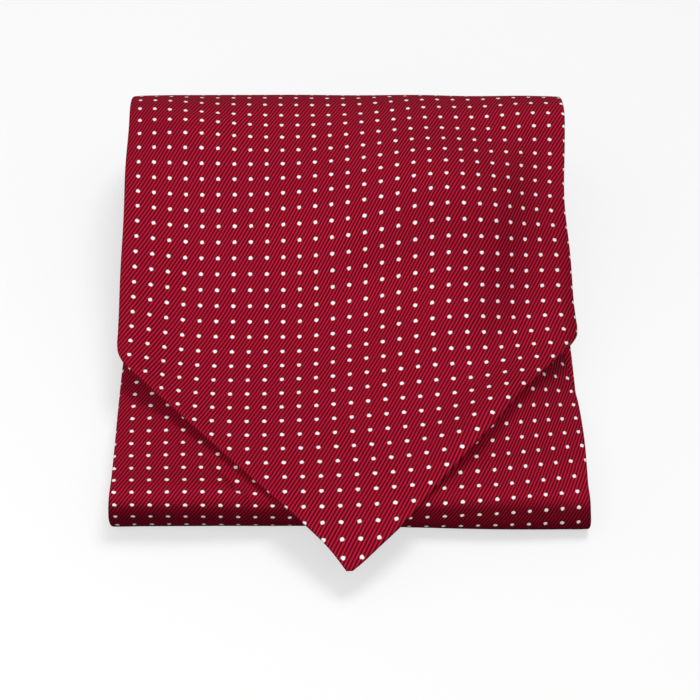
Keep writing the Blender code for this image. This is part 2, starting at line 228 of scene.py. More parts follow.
def smooth_step(t: Grid) -> Grid:
    """Eases from nought to one."""
    t = np.clip(t, 0.0, 1.0)
    return t * t * (3 - 2 * t)


def swells(across: Grid, along: Grid, table: Sequence[Swell]) -> Grid:
    """Height that the swells, hollows and creases of a table add to the cloth."""
    total = np.zeros_like(across)
    for row in table:
        w = along - row.along
        u = across - row.across - row.lean * w
        total += row.height * np.exp(-0.5 * ((u / row.half_across) ** 2 + (w / row.half_along) ** 2))
    return total


def edges_at(table: Sequence[Cut], along: Grid) -> tuple[Grid, Grid]:
    """Left and right edges of a cut at distances along it."""
    return eased(table, "left", along), eased(table, "right", along)


def between(table: Sequence[NamedTuple], places: Sequence[float], across: Grid, along: Grid) -> Grid:
    """Value of a table, eased along the cloth and straight between its places across.

    Args:
        table: Rows along the cloth, with one column for each place.
        places: Where the columns lie across the cloth.
        across: Distances from the cloth's middle line.
        along: Distances along the cloth.

    Returns:
        One value for each pair of distances.
    """
    values = [eased(table, name, along) for name in table[0]._fields[1:]]
    out = np.zeros_like(across)
    for k in range(len(places) - 1):
        t = (across - places[k]) / (places[k + 1] - places[k])
        reached = across >= (places[k] if k else -np.inf)
        out = np.where(reached, values[k] + (values[k + 1] - values[k]) * t, out)
    return out


def cloth_object(
    name: str, points: Grid, faces: list[Any], carried: dict[str, Grid], pattern: Grid
) -> Piece:
    """Mesh object of a cloth, with what its points carry and where they lie in the pattern.

    Args:
        name: Name of the object and its mesh.
        points: Places of the points, in millimetres.
        faces: Corners of each face.
        carried: Numbers or vectors that the points carry, by name.
        pattern: Place of each point, in dot pitches.

    Returns:
        The new object, in the scene.
    """
    mesh = bpy.data.meshes.new(name)
    mesh.from_pydata((points.reshape(-1, 3) * MM).tolist(), [], faces)
    for key, values in carried.items():
        kind, slot = ("FLOAT_VECTOR", "vector") if values.size == points.size else ("FLOAT", "value")
        mesh.attributes.new(key, kind, "POINT").data.foreach_set(slot, values.ravel())
    layer = mesh.uv_layers.new(name="cloth")
    corners = np.empty(len(mesh.loops), dtype=np.int32)
    mesh.loops.foreach_get("vertex_index", corners)
    layer.data.foreach_set("uv", pattern.reshape(-1, 2)[corners].ravel())
    made = bpy.data.objects.new(name, mesh)
    bpy.context.scene.collection.objects.link(made)
    return made


def normals(points: Grid) -> Grid:
    """Unit normals of a grid of points, out of the face of the cloth."""
    n = np.cross(np.gradient(points, axis=1), np.gradient(points, axis=0))
    return n / np.maximum(np.linalg.norm(n, axis=2, keepdims=True), 1e-9)


@dataclass(frozen=True)
class SideCurve:
    """Side view of a cloth: distance, Y, Z and heading at close steps along it."""

    s: Grid
    y: Grid
    z: Grid
    heading: Grid

    @classmethod
    def walked(cls, s: Grid, heading: Grid, y0: float, z0: float) -> "SideCurve":
        """Curve reached by walking the distances along the headings.

        Args:
            s: Distances along the curve.
            heading: Direction at each of them.
            y0: Where the walk starts in Y.
            z0: Where the walk starts in Z.

        Returns:
            The side curve.
        """
        step = np.diff(s)
        middle = (heading[1:] + heading[:-1]) / 2
        y = y0 + np.concatenate([[0.0], np.cumsum(np.cos(middle) * step)])
        z = z0 + np.concatenate([[0.0], np.cumsum(np.sin(middle) * step)])
        return cls(s, y, z, heading)

    @classmethod
    def of_blade(cls, point_y: float, point_z: float, turn_steps: int = 66) -> "SideCurve":
        """Slopes of the blade, then one round turn down to the table.

        Args:
            point_y: Where the blade's point lies in Y.
            point_z: Where the blade's point lies in Z.
            turn_steps: Steps round the turn.

        Returns:
            The side curve.
        """
        s_top = np.arange(0.0, BLADE_SLOPES[-1].along + 0.001, 1.0)
        heading = np.radians(eased(BLADE_SLOPES, "value", s_top))
        z_end = cls.walked(s_top, heading, point_y, point_z).z[-1]
        radius = (z_end - WALL / 2) / (math.cos(heading[-1]) + 1.0)
        turn = np.linspace(0.0, radius * (heading[-1] + math.pi), turn_steps + 1)[1:]
        s = np.concatenate([s_top, s_top[-1] + turn])
        return cls.walked(s, np.concatenate([heading, heading[-1] - turn / radius]), point_y, point_z)

    @classmethod
    def of_under(cls, start: float) -> "SideCurve":
        """Slopes of the under layer, from the table forward and over its fold."""
        s = np.arange(0.0, UNDER_SLOPES[-1].along + 0.001, 0.5)
        return cls.walked(s, np.radians(eased(UNDER_SLOPES, "value", s)), start, WALL / 2)


@dataclass
class LaidCloth:
    """Cloth laid over a side curve and its swells, with its own lengths kept both ways."""

    curve: SideCurve
    table: Sequence[Swell]
    held: float
    lean: float = 0.0
    curl: float = 0.0
    shift: float = 0.0
    drift: float = 0.0
    bow: float = 0.0
    swells_end: tuple[float, float] | None = None
    across_step: float = 1.0
    along_step: float = 1.0
    half_width: float = 80.0
    curl_reach: float = 50.0
    drift_reach: float = 100.0
    least_pace: float = 0.05
    stretch_limits: tuple[float, float] = (-0.5, 3.0)
    even_after: float = 8.0
    even_margin: float = 12.0

    def __post_init__(self) -> None:
        """Works out where every point of the cloth lies."""
        curve = self.curve
        self.length = float(curve.s[-1])
        self.across = np.arange(-self.half_width, self.half_width + 0.1, self.across_step)
        self.along = np.arange(0.0, self.length + self.along_step, self.along_step)
        u, v = np.meshgrid(self.across, self.along, indexing="ij")
        kept = np.ones_like(v)
        if self.swells_end:
            first, last = self.swells_end
            kept = 1 - smooth_step((v - first) / (last - first))
        lift = swells(u, v, self.table) * kept
        slant = self.lean * self.across + self.curl * (self.across / self.curl_reach) ** 2
        travelled = self._distance(lift) + slant[:, None] * kept
        if self.swells_end:
            even = smooth_step((v - first - self.even_after) / (self.length - first - self.even_margin))
            travelled = travelled * (1 - even) + v * even
        tilt = np.interp(travelled, curve.s, curve.heading)
        self.fields = [
            self._sideways(lift),
            np.interp(travelled, curve.s, curve.y) - np.sin(tilt) * lift,
            np.interp(travelled, curve.s, curve.z) + np.cos(tilt) * lift,
        ]

    def _distance(self, lift: Grid) -> Grid:
        """Distance along the side curve at which each point of the cloth lies."""
        rise = np.gradient(lift, self.along, axis=1)
        bend = -np.interp(self.along, self.curve.s, np.gradient(self.curve.heading, self.curve.s))
        stretch = 1 + np.clip(bend[None, :] * lift, *self.stretch_limits)
        pace = np.sqrt(np.clip(1 - rise**2, self.least_pace, 1)) / stretch
        run = np.cumsum((pace[:, 1:] + pace[:, :-1]) / 2 * self.along_step, axis=1)
        run = np.concatenate([np.zeros((len(self.across), 1)), run], axis=1)
        return run - run[:, int(self.held / self.along_step)][:, None] + self.held

    def _sideways(self, lift: Grid) -> Grid:
        """X of each point of the cloth, drawn in where the cloth rises and falls."""
        rise = np.gradient(lift, self.across, axis=0)
        pace = np.sqrt(np.clip(1 - rise**2, self.least_pace, 1))
        x = np.cumsum((pace[1:] + pace[:-1]) / 2 * self.across_step, axis=0)
        x = np.concatenate([np.zeros((1, len(self.along))), x], axis=0)
        w = (self.along - self.drift_reach) / self.drift_reach
        return x - x[len(self.across) // 2] + self.drift * w + self.bow * w**2 + self.shift

    def middle(self, across: Grid, along: Grid) -> Grid:
        """Points on the middle of the cloth.

        Args:
            across: Distances from the cloth's middle line.
            along: Distances along the cloth.

        Returns:
            One point for each pair of distances.
        """
        a = np.clip((across + self.half_width) / self.across_step, 0, len(self.across) - 1.001)
        b = np.clip(along / self.along_step, 0, len(self.along) - 1.001)
        i, j = a.astype(int), b.astype(int)
        a, b = a - i, b - j
        out = []
        for part in self.fields:
            near = (1 - a) * part[i, j] + a * part[i + 1, j]
            far = (1 - a) * part[i, j + 1] + a * part[i + 1, j + 1]
            out.append((1 - b) * near + b * far)
        return np.stack(out, axis=-1)


class Field:
    """A socket that takes part in Python arithmetic, adding the maths nodes it needs."""

    def __init__(self, graph: "NodeGraph", socket: Socket) -> None:
        """Keeps the graph and the socket that gives the value."""
        self.graph = graph
        self.socket = socket

    def maths(self, operation: str, *others: "Field | float") -> "Field":
        """Result of one maths node on this value and the others."""
        values = dict(enumerate((self, *others)))
        return self.graph.field("ShaderNodeMath", {"operation": operation}, values)

    def __add__(self, other: "Field | float") -> "Field":
        """Sum."""
        return self.maths("ADD", other)

    __radd__ = __add__

    def __sub__(self, other: "Field | float") -> "Field":
        """Difference."""
        return self.maths("SUBTRACT", other)

    def __rsub__(self, other: float) -> "Field":
        """Difference from a plain number."""
        return (self * -1.0) + other

    def __mul__(self, other: "Field | float") -> "Field":
        """Product."""
        return self.maths("MULTIPLY", other)

    __rmul__ = __mul__

    def __truediv__(self, other: "Field | float") -> "Field":
        """Quotient."""
        return self.maths("DIVIDE", other)

    def __rtruediv__(self, other: float) -> "Field":
        """A plain number divided by this value."""
        return self.maths("POWER", -1.0) * other

    def __abs__(self) -> "Field":
        """Size without its sign."""
        return self.maths("ABSOLUTE")

    def rounded(self) -> "Field":
        """Nearest whole number."""
        return self.maths("ROUND")

    def fraction(self) -> "Field":
        """What is left above the whole number below."""
        return self.maths("FRACT")

    def root(self) -> "Field":
        """Square root."""
        return self.maths("SQRT")


class NodeGraph:
    """A node tree that is built by one method, for shaders and for geometry."""

    def __init__(self, tree: bpy.types.NodeTree) -> None:
        """Keeps the tree that the nodes go into."""
        self.tree = tree

    def node(self, kind: str, settings: Named = None, sockets: Named = None) -> bpy.types.Node:
        """Adds one node.

        Args:
            kind: The node's type.
            settings: What the node is set to, before its sockets are touched.
            sockets: Value or link of each input, by name or number.

        Returns:
            The new node.
        """
        made = self.tree.nodes.new(kind)
        for name, value in (settings or {}).items():
            setattr(made, name, value)
        for key, value in (sockets or {}).items():
            if isinstance(value, Field):
                self.tree.links.new(value.socket, made.inputs[key])
            elif isinstance(value, Socket):
                self.tree.links.new(value, made.inputs[key])
            else:
                made.inputs[key].default_value = value
        return made

    def field(self, kind: str, settings: Named = None, sockets: Named = None, output: Any = 0) -> Field:
        """Adds one node and returns one of its outputs as a field."""
        return Field(self, self.node(kind, settings, sockets).outputs[output])

    def stepped(self, value: Field, low: float, high: float) -> Field:
        """Eases from nought at one value to one at another."""
        sockets = {"Value": value, "From Min": low, "From Max": high}
        return self.field("ShaderNodeMapRange", {"interpolation_type": "SMOOTHSTEP"}, sockets)

    def mixed(self, share: Field, first: Any, second: Any) -> Field:
        """Colour between two others."""
        return self.field("ShaderNodeMix", {"data_type": "RGBA"}, {0: share, 6: first, 7: second}, 2)

    def noise(self, place: Any, scale: float, detail: float, roughness: float) -> Field:
        """Unevenness over a surface, in the units of its place."""
        sockets = {"Vector": place, "Scale": scale, "Detail": detail, "Roughness": roughness}
        return self.field("ShaderNodeTexNoise", {}, sockets)


class ShaderGraph(NodeGraph):
    """The node tree of a new material, which starts empty."""

    def __init__(self, name: str) -> None:
        """Starts the material that has this name."""
        self.material = bpy.data.materials.new(name)
        self.material.use_nodes = True
        super().__init__(self.material.node_tree)
        self.tree.nodes.clear()

    def finished(self, sockets: dict[str, Any]) -> Finish:
        """Ends the tree with one principled surface and gives its material."""
        shader = self.node("ShaderNodeBsdfPrincipled", {}, sockets)
        self.node("ShaderNodeOutputMaterial", {}, {"Surface": shader.outputs[0]})
        return self.material


class Held(Enum):
    """How a stretch of the cloth lies."""

    LAID = "laid"
    FOLDED = "folded"


@dataclass(frozen=True)
class SilkFinish:
    """Pin-dot silk twill: fine diagonal ribs, small woven dots and a soft sheen."""

    name: str
    rib_colour: tuple[float, float, float] = (0.52, 0.0098, 0.0425)
    groove_colour: tuple[float, float, float] = (0.05, 0.0, 0.002)
    dot_colour: tuple[float, float, float] = (0.89, 0.88, 0.87)
    ribs_across: float = 4.5
    ribs_along: float = -2.6
    dot_half_across: float = 0.128
    dot_half_along: float = 0.12
    rib_depth: float = 0.00016
    roughness: float = 0.55
    thread_gloss: float = 0.4
    # Share of painted shade on a fold's face, mixed toward the groove colour.
    fold_depth: float = 0.52
    cloud_scale: float = 0.35
    cloud_share: float = 0.12
    waver_scale: float = 2.2
    waver: float = 0.22
    float_turns: tuple[float, float] = (11.0, 17.0)
    wear_scale: float = 9.0
    fray_scale: float = 7.0
    fray: float = 0.35
    cloud_edges: tuple[float, float] = (0.3, 0.72)
    rib_edges: tuple[float, float] = (0.92, 0.22)
    dot_edges: tuple[float, float] = (1.2, 0.82)

    def material(self) -> Finish:
        """Builds the finish.

        Returns:
            The material, which reads the cloth's own UV map in dot pitches.
        """
        graph = ShaderGraph(self.name)
        place = graph.node("ShaderNodeUVMap", {"uv_map": "cloth"}).outputs[0]
        cloth = graph.node("ShaderNodeSeparateXYZ", sockets={0: place})
        across, along = Field(graph, cloth.outputs[0]), Field(graph, cloth.outputs[1])
        ribs = self._ribs(graph, place, across, along)
        dots = self._dots(graph, place, across, along, ribs)
        height = ribs * (1.0 - dots * 0.6) + dots * 0.8
        relief = {"Strength": 0.8, "Distance": self.rib_depth, "Height": height}
        made = graph.finished(
            {
                "Base Color": self._colour(graph, place, ribs, dots),
                "Roughness": self.roughness + 0.14 * (1.0 - ribs) + 0.15 * dots,
                "Metallic": self.thread_gloss,
                "Specular IOR Level": 0.05,
                "Sheen Weight": 0.05,
                "Sheen Roughness": 0.45,
                "Sheen Tint": (1.0, 0.25, 0.35, 1.0),
                "Normal": graph.field("ShaderNodeBump", {}, relief),
            }
        )
        made.diffuse_color = (*self.rib_colour, 1.0)
        return made

    def _colour(self, graph: NodeGraph, place: Socket, ribs: Field, dots: Field) -> Field:
        """Red ribs and dark grooves, a little cloudy, white dots, and painted shade on a fold's face,
        where the cloth but not its dots goes toward the groove colour.
        """
        groove = (*self.groove_colour, 1.0)
        cloudy = graph.stepped(graph.noise(place, self.cloud_scale, 2.0, 0.5), *self.cloud_edges)
        silk = graph.mixed(ribs, groove, (*self.rib_colour, 1.0))
        deep = graph.mixed(cloudy * self.cloud_share, silk, (*(c * 0.6 for c in self.rib_colour), 1.0))
        dotted = graph.mixed(dots, deep, (*self.dot_colour, 1.0))
        # Painted shade: where the stored fold mask is set, the cloth but not its dots goes toward the
        # dark groove colour.
        turned = graph.field("ShaderNodeAttribute", {"attribute_name": "turned"}, output="Fac")
        return graph.mixed(turned * self.fold_depth * (1.0 - dots), dotted, groove)

    def _ribs(self, graph: NodeGraph, place: Socket, across: Field, along: Field) -> Field:
        """Rounded twill ribs with narrow grooves, a little uneven along their length."""
        uneven = graph.noise(place, self.waver_scale, 2.0, 0.6)
        turn = across * self.ribs_across + along * self.ribs_along + (uneven - 0.5) * self.waver
        rib = graph.stepped(abs(turn.fraction() * 2.0 - 1.0), *self.rib_edges)
        thread = across * self.float_turns[0] + along * self.float_turns[1]
        floats = abs(thread.fraction() * 2.0 - 1.0)
        worn = graph.noise(place, self.wear_scale, 3.0, 0.65)
        return rib * (0.72 + 0.5 * (worn - 0.2)) * (0.9 + 0.1 * floats)

    def _dots(self, graph: NodeGraph, place: Socket, across: Field, along: Field, ribs: Field) -> Field:
        """Small woven dots at whole numbers of the cloth's pattern, with stepped edges."""
        frayed = graph.noise(place, self.fray_scale, 2.0, 0.5)
        u = (across - across.rounded()) / self.dot_half_across
        v = (along - along.rounded()) / self.dot_half_along
        reach = (u * u + v * v).root() + (frayed - 0.5) * self.fray + (1.0 - ribs) * 0.12
        return graph.stepped(reach, *self.dot_edges)


class GeometryGraph(NodeGraph):
    """A geometry node tree with named inputs, put on an object and then made a plain mesh."""

    def __init__(self, name: str) -> None:
        """Starts the tree with its geometry in and out.

        Args:
            name: Name of the tree.
        """
        super().__init__(bpy.data.node_groups.new(name, "GeometryNodeTree"))
        self.tree.interface.new_socket("Geometry", in_out="INPUT", socket_type="NodeSocketGeometry")
        self.tree.interface.new_socket("Geometry", in_out="OUTPUT", socket_type="NodeSocketGeometry")
        self.sizes: dict[str, Any] = {}
        self.source = self.tree.nodes.new("NodeGroupInput")
        self.given = Field(self, self.source.outputs["Geometry"])

    def size(self, name: str, kind: str, value: Any) -> Field:
        """Adds a named input.

        Args:
            name: Name of the input.
            kind: Socket type.
            value: What it is set to on the modifier.

        Returns:
            The input's value inside the tree.
        """
        made = self.tree.interface.new_socket(name, in_out="INPUT", socket_type=kind)
        self.sizes[made.identifier] = value
        return Field(self, self.source.outputs[name])

    def attribute(self, name: str, kind: str = "FLOAT") -> Field:
        """What the mesh carries at each point under this name."""
        return self.field("GeometryNodeInputNamedAttribute", {"data_type": kind}, {"Name": name})

    def finished(self, geometry: Field, finish: Field) -> None:
        """Ends the tree with plain geometry and its material."""
        real = self.field("GeometryNodeRealizeInstances", {}, {0: geometry})
        soft = self.field("GeometryNodeSetShadeSmooth", {}, {"Geometry": real})
        dressed = self.field("GeometryNodeSetMaterial", {}, {"Geometry": soft, "Material": finish})
        self.node("NodeGroupOutput", {}, {0: dressed})

    def applied(self, piece: Piece) -> Piece:
        """Runs the tree on a piece and keeps the result as a plain mesh.

        Args:
            piece: Object with the mesh that the tree starts from.

        Returns:
            The same object, with its new mesh.
        """
        modifier = piece.modifiers.new(self.tree.name, "NODES")
        modifier.node_group = self.tree
        for identifier, value in self.sizes.items():
            modifier[identifier] = value
        bpy.context.view_layer.update()
        depsgraph = bpy.context.evaluated_depsgraph_get()
        mesh = bpy.data.meshes.new_from_object(
            piece.evaluated_get(depsgraph), preserve_all_data_layers=True, depsgraph=depsgraph
        )
        piece.modifiers.remove(modifier)
        old = piece.data
        piece.data = mesh
        mesh.name = piece.name
        bpy.data.meshes.remove(old)
        return piece


@dataclass
class ClothStretch:
    """One stretch of the cravat that shows, as a closed double ply on its solid's form."""

    name: str
    node: str
    slot: str
    cut: Sequence[Cut]
    creases: Sequence[Swell]
    middle: ClothMap
    pattern: ClothMap
    first: float
    last: float
    rows: int = 120
    columns: int = 120
    edge: float = 0.7
    edge_steps: int = 5
    pillow: float = 0.12
    pillow_inset: float = 3.5
    pillow_reach: float = 3.0
    # Distances along between which the painted shade on a fold's face fades out; None for no painted
    # shade.
    turn: tuple[float, float] | None = None
    merge_distance: float = 0.000004
    cut_samples: int = 400

    def build(self, origin: Grid, finish: Finish) -> Piece:
        """Builds the stretch about the scene's origin.

        Args:
            origin: Where the scene's origin lies in the layout, in millimetres.
            finish: Material of the cloth.

        Returns:
            The finished piece.
        """
        along, end_half = self._spread(np.array([self.first]), np.array([self.last]), self.rows)
        left, right = edges_at(self.cut, along[0])
        across, side_half = self._spread(left, right, self.columns)
        grid_along = np.repeat(along[0][:, None], across.shape[1], axis=1)
        points = self.middle(across, grid_along)
        ways = normals(points)
        points = points + ways * swells(across, grid_along, self.creases)[..., None]
        half = end_half[0][:, None] * side_half
        nearest = np.minimum(across - left[:, None], right[:, None] - across)
        plump = 1 + self.pillow * np.exp(-(((nearest - self.pillow_inset) / self.pillow_reach) ** 2))
        carried = {"half": half * (plump - self.pillow / 2) / 2, "way": ways}
        # Painted shade mask: full before the first distance along, none past the second.
        if self.turn is not None:
            start, end = self.turn
            carried["turned"] = smooth_step((end - grid_along) / (end - start))
        index = np.arange(half.size).reshape(half.shape)
        faces = np.stack([index[:-1, :-1], index[:-1, 1:], index[1:, 1:], index[1:, :-1]], axis=-1)
        pattern = self.pattern(across, grid_along)
        piece = cloth_object(self.name, points - origin, faces.reshape(-1, 4).tolist(), carried, pattern)
        graph = GeometryGraph(self.name + " double ply")
        wall = graph.size("Wall", "NodeSocketFloat", WALL * MM)
        finish_in = graph.size("Finish", "NodeSocketMaterial", finish)
        self._two_plies(graph, wall, finish_in)
        return graph.applied(piece)

    def _spread(self, low: Grid, high: Grid, count: int) -> tuple[Grid, Grid]:
        """Places from a low to a high edge, closer at the rounded edges, with their share of wall."""
        turn = np.linspace(0.0, math.pi / 2, self.edge_steps + 1)
        reach = np.minimum(self.edge, (high - low) * 0.45)[:, None]
        inner = np.linspace(0.0, 1.0, count)[None, 1:-1]
        rounding = reach * (1 - np.cos(turn))[None, :]
        low, high = low[:, None], high[:, None]
        flat = low + reach + (high - low - 2 * reach) * inner
        places = np.concatenate([low + rounding, flat, (high - rounding)[:, ::-1]], axis=1)
        share = np.concatenate([np.sin(turn), np.ones(count - 2), np.sin(turn)[::-1]])
        return places, np.repeat(share[None, :], len(places), axis=0)

    def _two_plies(self, graph: GeometryGraph, wall: Field, finish: Field) -> None:
        """Sets one ply out and one in from the middle sheet and joins them at the edges."""
        out = graph.attribute("half") * wall
        way = graph.attribute("way", "FLOAT_VECTOR")
        plies = []
        for side in (1.0, -1.0):
            lift = {"Vector": way, "Scale": out * side}
            offset = graph.field("ShaderNodeVectorMath", {"operation": "SCALE"}, lift)
            ply = graph.field("GeometryNodeSetPosition", {}, {"Geometry": graph.given, "Offset": offset})
            if side < 0:
                ply = graph.field("GeometryNodeFlipFaces", {}, {"Mesh": ply})
            plies.append(ply)
        joined = graph.node("GeometryNodeJoinGeometry")
        for ply in plies:
            graph.tree.links.new(ply.socket, joined.inputs[0])
        both = {"Geometry": joined.outputs[0], "Distance": self.merge_distance}
        closed = graph.field("GeometryNodeMergeByDistance", {}, both)
        graph.finished(closed, finish)

    def declare(self, piece: Piece, held: Held, rests_on: Sequence[Any]) -> None:
        """Hangs the piece on the root body, hides the solid it replaces and logs its faces and flat size.
        """
        left, right = edges_at(self.cut, np.linspace(self.first, self.last, self.cut_samples))
        length = self.last - self.first
        flat = (float((right - left).max()) * MM, length * MM)
        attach(piece, "root")
        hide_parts(self.node)
        area = min(float((right - left).mean() * length) * MM * MM, flat[0] * flat[1])
        faces = len(piece.data.polygons)
        log.info("%s: %d faces, flat %.0f x %.0f mm", piece.name, faces, flat[0] / MM, length)


@dataclass
class FoldedPleats:
    """The pleated neck and the second blade, folded up inside in soft layers."""

    name: str = "silk_folded_neck"
    layers: int = 6
    rows: int = 64
    columns: int = 48
    side_steps: int = 7
    bulge: float = 1.1
    slack: float = 0.45
    nose: float = 7.0
    roof_reach: float = 5.0
    nose_share: float = 0.3
    floor_ease: float = 0.08
    floor_reach: float = 5.0
    ply_share: float = 0.9
    sway: float = 0.9
    seed: int = 7
    sway_turns: tuple[int, int] = (0, 5)
    wave_scale: float = 22.0
    wave_turn: float = 3.7
    wave_share: float = 3.0
    hidden_width: float = 140.0
    hidden_length: float = 150.0

    def heights(self, blade: LaidCloth, above: Sequence[Grid], x: Grid, y: Grid) -> tuple[Grid, Grid]:
        """Floor and roof of the space that the layers fill.

        Args:
            blade: The blade, whose round turn the layers reach into.
            above: Grids of points on the underside of the cloth above.
            x: Places across.
            y: Places along.

        Returns:
            Floor and roof at each place.
        """
        cloud = np.concatenate([grid.reshape(-1, 3) for grid in above])
        crown = np.interp(y, column(CORE_CROWN, "along"), column(CORE_CROWN, "value"))
        roof = np.empty_like(x)
        for spot in np.ndindex(x.shape):
            near = np.hypot(cloud[:, 0] - x[spot], cloud[:, 1] - y[spot]) < self.roof_reach
            roof[spot] = cloud[near, 2].min() if near.any() else CORE_CROWN[0].value
        roof = np.minimum(roof, crown) - self.slack
        radius = (blade.curve.z.max() - WALL / 2) / 2
        reach = np.maximum(0.0, y - blade.curve.y[-1])
        inner = radius - WALL / 2 - SEAM - self.floor_ease * np.minimum(reach, self.floor_reach)
        return WALL / 2 + radius - np.sqrt(inner**2 - reach**2), roof

    def build(self, origin: Grid, blade: LaidCloth, above: Sequence[Grid], finish: Finish) -> Piece:
        """Builds the folded layers.

        Args:
            origin: Where the scene's origin lies in the layout, in millimetres.
            blade: The blade that lies on them.
            above: Grids of points on the underside of the cloth above.
            finish: Material of the cloth.

        Returns:
            The finished piece.
        """
        front, back = CORE_PLAN[0].along, CORE_PLAN[-1].along
        y = front + (back - front) * (1 - np.cos(np.linspace(0, math.pi, self.rows))) / 2
        left, right = edges_at(CORE_PLAN, y)
        span = np.linspace(0.0, 1.0, self.columns)
        x = left[:, None] + (right - left)[:, None] * span
        grid_y = np.repeat(y[:, None], self.columns, axis=1)
        floor, roof = self.heights(blade, above, x, grid_y)
        near = np.minimum(np.minimum(grid_y - front, back - grid_y), self.nose) / self.nose
        squash = self.nose_share + (1 - self.nose_share) * np.sqrt(np.maximum(0.0, 1 - (1 - near) ** 2))
        middle = (floor + roof) / 2
        roof = middle + (roof - middle) * squash
        floor = np.maximum(middle + (floor - middle) * squash, floor)
        piece = self._band(x - origin[0], grid_y - origin[1], floor, roof)
        graph = GeometryGraph("folded layers")
        layers = graph.size("Layers", "NodeSocketInt", self.layers)
        sway = graph.size("Sway", "NodeSocketFloat", self.sway * MM)
        seed = graph.size("Seed", "NodeSocketInt", self.seed)
        finish_in = graph.size("Finish", "NodeSocketMaterial", finish)
        self._stack(graph, layers, sway, seed, finish_in)
        return graph.applied(piece)

    def _band(self, x: Grid, y: Grid, floor: Grid, roof: Grid) -> Piece:
        """One flat double band, which carries its floor, its roof and its share of the height."""
        turn = np.linspace(0.0, math.pi, self.side_steps + 2)[1:-1]
        side_share = (1 + np.cos(turn)) / 2
        out = np.sin(turn) * self.bulge
        order = list(range(self.columns))
        flat = np.zeros(self.columns)
        ring_columns = order + [order[-1]] * self.side_steps + order[::-1] + [0] * self.side_steps
        share = np.concatenate([flat + 1, side_share, flat, side_share[::-1]])
        shift = np.concatenate([flat, out, flat, -out])
        ring_x = x[:, ring_columns] + shift
        ring_y = y[:, ring_columns]
        ring_floor, ring_roof = floor[:, ring_columns], roof[:, ring_columns]
        count = len(ring_columns)
        rows = len(x)
        index = np.arange(rows * count).reshape(rows, count)
        after = np.roll(index, -1, axis=1)
        faces = np.stack([index[:-1], after[:-1], after[1:], index[1:]], axis=-1)
        faces = faces.reshape(-1, 4).tolist() + [index[0][::-1].tolist(), index[-1].tolist()]
        carried = {
            "floor": ring_floor * MM,
            "roof": ring_roof * MM,
            "share": np.repeat(share[None, :], rows, axis=0),
        }
        points = np.stack([ring_x, ring_y, ring_floor], axis=-1)
        pattern = np.stack([ring_x + 2.0 * share * shift, ring_y], axis=-1) / DOT_PITCH
        return cloth_object(self.name, points, faces, carried, pattern)

    def _stack(
        self, graph: GeometryGraph, layers: Field, sway: Field, seed: Field, finish: Field
    ) -> None:
        """Repeats the band upwards, each layer in its own share of the height and a little astray."""
        whole = graph.field("GeometryNodeGeometryToInstance", {}, {0: graph.given})
        copies = graph.node(
            "GeometryNodeDuplicateElements", {"domain": "INSTANCE"}, {"Geometry": whole, "Amount": layers}
        )
        number = Field(graph, copies.outputs["Duplicate Index"])
        marked = graph.field(
            "GeometryNodeStoreNamedAttribute",
            {"data_type": "FLOAT", "domain": "INSTANCE"},
            {"Geometry": copies.outputs["Geometry"], "Name": "layer", "Value": number},
        )
        real = graph.field("GeometryNodeRealizeInstances", {}, {0: marked})
        layer = graph.attribute("layer")
        floor = graph.attribute("floor")
        room = graph.attribute("roof") - floor
        start = (1.0 - self.ply_share) / 2
        level = (layer + start + self.ply_share * graph.attribute("share")) / layers
        position = graph.field("GeometryNodeInputPosition")
        spot = graph.node("ShaderNodeSeparateXYZ", sockets={0: position})
        which = graph.field("FunctionNodeFloatToInt", {}, {0: layer})
        astray = []
        for turn in self.sway_turns:
            drawn = {"Min": -1.0, "Max": 1.0, "ID": which, "Seed": seed + float(turn)}
            astray.append(graph.field("FunctionNodeRandomValue", {"data_type": "FLOAT"}, drawn, 1))
        wave = graph.field(
            "ShaderNodeTexNoise",
            {"noise_dimensions": "4D"},
            {"Vector": position, "W": layer * self.wave_turn, "Scale": self.wave_scale},
        )
        astray_x = (astray[0] + (wave - 0.5) * self.wave_share) * sway
        astray_y = astray[1] * sway
        spots = {
            0: Field(graph, spot.outputs[0]) + astray_x,
            1: Field(graph, spot.outputs[1]) + astray_y,
            2: floor + room * level,
        }
        place = graph.field("ShaderNodeCombineXYZ", {}, spots)
        moved = graph.field("GeometryNodeSetPosition", {}, {"Geometry": real, "Position": place})
        graph.finished(moved, finish)

    def declare(self, piece: Piece, rests_on: Sequence[Any]) -> None:
        """Hangs the piece on the root body, hides the solid it replaces and logs its faces and layers."""
        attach(piece, "root")
        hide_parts("folded_core")
        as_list(rests_on)
        log.info("%s: %d faces in %d layers", piece.name, len(piece.data.polygons), self.layers)


